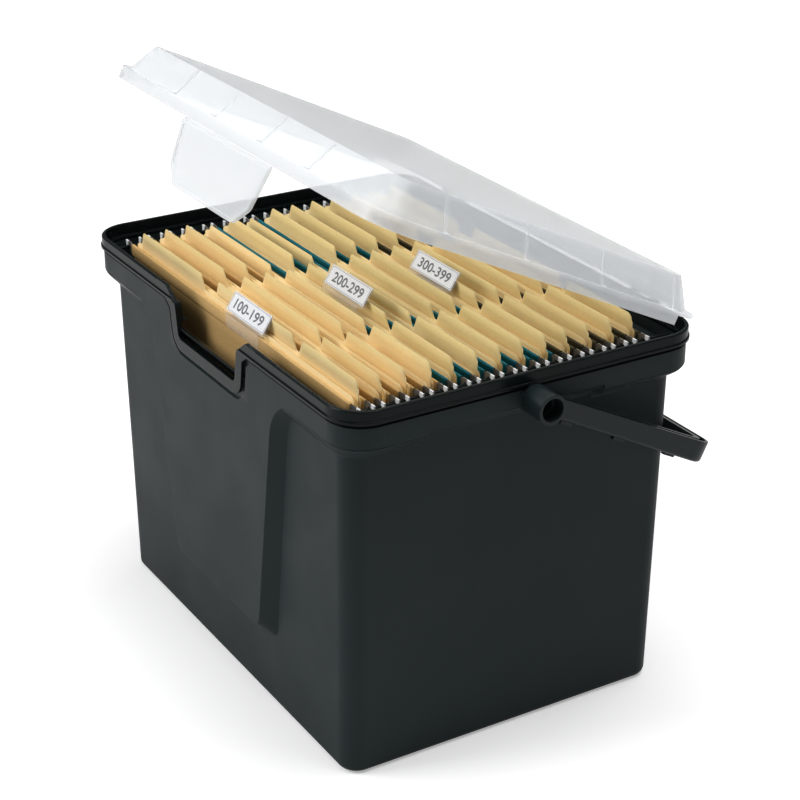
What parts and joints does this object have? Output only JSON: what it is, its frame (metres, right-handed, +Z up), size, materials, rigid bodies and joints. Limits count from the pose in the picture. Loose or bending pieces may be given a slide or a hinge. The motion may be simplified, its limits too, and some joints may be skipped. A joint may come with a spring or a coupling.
{
  "type": "portable file box",
  "caption": "Portable file box: black moulded tub with a notched front, hinged clear lid with a flap, swing-over carry handle, and hanging folders holding tabbed folders.",
  "frame": {"origin": "centre of the tub's flat base, where it stands", "axes": "+Z up; +X to the right along the notched front, which faces -Y; the handle pivots and the lid hinge lie along X"},
  "size_m": [0.392, 0.2576, 0.3771],
  "materials": {
    "tub": "fine satin moulded",
    "handle": "satin moulded",
    "clear_lid": "clear, slightly milky",
    "folder_tan": "uncoated board",
    "folder_teal": "uncoated board",
    "folder_olive": "uncoated board",
    "rod": "white coated steel",
    "manila_warm": "uncoated card stock",
    "manila_khaki": "uncoated card stock",
    "label_tab": "clear",
    "label_paper": "smooth paper"
  },
  "bodies": {
    "tub": {"tub": "tub"},
    "lid": {"lid": "clear_lid"},
    "flap": {"lid_flap": "clear_lid"},
    "handle": {"handle": "handle"},
    "folder_01": {"hanging_folder_01": "folder_tan", "folder_rods_01": "rod", "manila_folders_01": "manila_warm", "label_tab_1": "label_tab", "label_insert_1": "label_paper"},
    "folder_02": {"hanging_folder_02": "folder_tan", "folder_rods_02": "rod", "manila_folders_02": "manila_warm"},
    "folder_03": {"hanging_folder_03": "folder_tan", "folder_rods_03": "rod", "manila_folders_03": "manila_warm"},
    "folder_04": {"hanging_folder_04": "folder_tan", "folder_rods_04": "rod", "manila_folders_04": "manila_warm"},
    "folder_05": {"hanging_folder_05": "folder_teal", "folder_rods_05": "rod", "manila_folders_05": "manila_khaki", "label_tab_2": "label_tab", "label_insert_2": "label_paper"},
    "folder_06": {"hanging_folder_06": "folder_teal", "folder_rods_06": "rod", "manila_folders_06": "manila_khaki"},
    "folder_07": {"hanging_folder_07": "folder_teal", "folder_rods_07": "rod", "manila_folders_07": "manila_khaki"},
    "folder_08": {"hanging_folder_08": "folder_teal", "folder_rods_08": "rod", "manila_folders_08": "manila_khaki"},
    "folder_09": {"hanging_folder_09": "folder_teal", "folder_rods_09": "rod", "manila_folders_09": "manila_khaki", "label_tab_3": "label_tab", "label_insert_3": "label_paper"},
    "folder_10": {"hanging_folder_10": "folder_olive", "folder_rods_10": "rod", "manila_folders_10": "manila_khaki"},
    "folder_11": {"hanging_folder_11": "folder_olive", "folder_rods_11": "rod", "manila_folders_11": "manila_khaki"},
    "folder_12": {"hanging_folder_12": "folder_olive", "folder_rods_12": "rod", "manila_folders_12": "manila_khaki"},
    "folder_13": {"hanging_folder_13": "folder_olive", "folder_rods_13": "rod", "manila_folders_13": "manila_khaki"}
  },
  "joints": [
    {"name": "lid_hinge", "type": "hinge", "parent": "tub", "child": "lid", "pos_m": [0, 0.1286, 0.254], "axis": [-1, 0, 0], "range_deg": [-26, 84]},
    {"name": "flap_hinge", "type": "hinge", "parent": "lid", "child": "flap", "pos_m": [0, -0.10427, 0.35801], "axis": [-1, 0, 0], "range_deg": [0, 95]},
    {"name": "handle_swing", "type": "hinge", "parent": "tub", "child": "handle", "pos_m": [0, 0, 0.235], "axis": [-1, 0, 0], "range_deg": [-130, 0]},
    {"name": "folder_01_slide", "type": "slide", "parent": "tub", "child": "folder_01", "axis": [0, 1, 0], "range_m": [-0.0022, 0.0022]},
    {"name": "folder_02_slide", "type": "slide", "parent": "tub", "child": "folder_02", "axis": [0, 1, 0], "range_m": [-0.0022, 0.0022]},
    {"name": "folder_03_slide", "type": "slide", "parent": "tub", "child": "folder_03", "axis": [0, 1, 0], "range_m": [-0.0022, 0.0022]},
    {"name": "folder_04_slide", "type": "slide", "parent": "tub", "child": "folder_04", "axis": [0, 1, 0], "range_m": [-0.0022, 0.0022]},
    {"name": "folder_05_slide", "type": "slide", "parent": "tub", "child": "folder_05", "axis": [0, 1, 0], "range_m": [-0.0022, 0.0022]},
    {"name": "folder_06_slide", "type": "slide", "parent": "tub", "child": "folder_06", "axis": [0, 1, 0], "range_m": [-0.0022, 0.0022]},
    {"name": "folder_07_slide", "type": "slide", "parent": "tub", "child": "folder_07", "axis": [0, 1, 0], "range_m": [-0.0022, 0.0022]},
    {"name": "folder_08_slide", "type": "slide", "parent": "tub", "child": "folder_08", "axis": [0, 1, 0], "range_m": [-0.0022, 0.0022]},
    {"name": "folder_09_slide", "type": "slide", "parent": "tub", "child": "folder_09", "axis": [0, 1, 0], "range_m": [-0.0022, 0.0022]},
    {"name": "folder_10_slide", "type": "slide", "parent": "tub", "child": "folder_10", "axis": [0, 1, 0], "range_m": [-0.0022, 0.0022]},
    {"name": "folder_11_slide", "type": "slide", "parent": "tub", "child": "folder_11", "axis": [0, 1, 0], "range_m": [-0.0022, 0.0022]},
    {"name": "folder_12_slide", "type": "slide", "parent": "tub", "child": "folder_12", "axis": [0, 1, 0], "range_m": [-0.0022, 0.0022]},
    {"name": "folder_13_slide", "type": "slide", "parent": "tub", "child": "folder_13", "axis": [0, 1, 0], "range_m": [-0.0022, 0.0022]}
  ]
}
